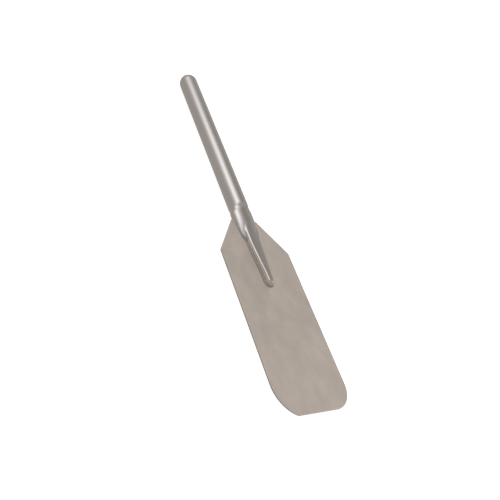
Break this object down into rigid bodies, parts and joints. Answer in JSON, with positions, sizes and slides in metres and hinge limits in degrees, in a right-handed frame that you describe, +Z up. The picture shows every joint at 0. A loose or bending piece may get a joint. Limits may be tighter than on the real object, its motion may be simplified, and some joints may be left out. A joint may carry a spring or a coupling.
{
  "type": "mortar mixing paddle",
  "caption": "Stainless steel hand paddle for mixing mortar: a flat sheet blade with sloping shoulders, welded into the slit and pressed end of a round tube handle with a domed cap.",
  "frame": {"origin": "under the middle of the whole paddle, at the lowest line of the tube, on the surface it lies on", "axes": "+Z up, square to the blade's face; +Y along the handle towards its domed cap; +X across the blade, towards the plain quarter-round corner"},
  "size_m": [0.125, 0.61, 0.0302],
  "materials": {
    "blade_steel": "fine satin with faint handling marks",
    "tube_steel": "polished along the tube",
    "weld_steel": "ground and polished weld"
  },
  "bodies": {
    "root": {"blade": "blade_steel", "handle_tube": "tube_steel", "end_cap": "tube_steel", "cap_weld": "weld_steel", "front_weld": "weld_steel", "back_weld": "weld_steel"}
  },
  "joints": []
}
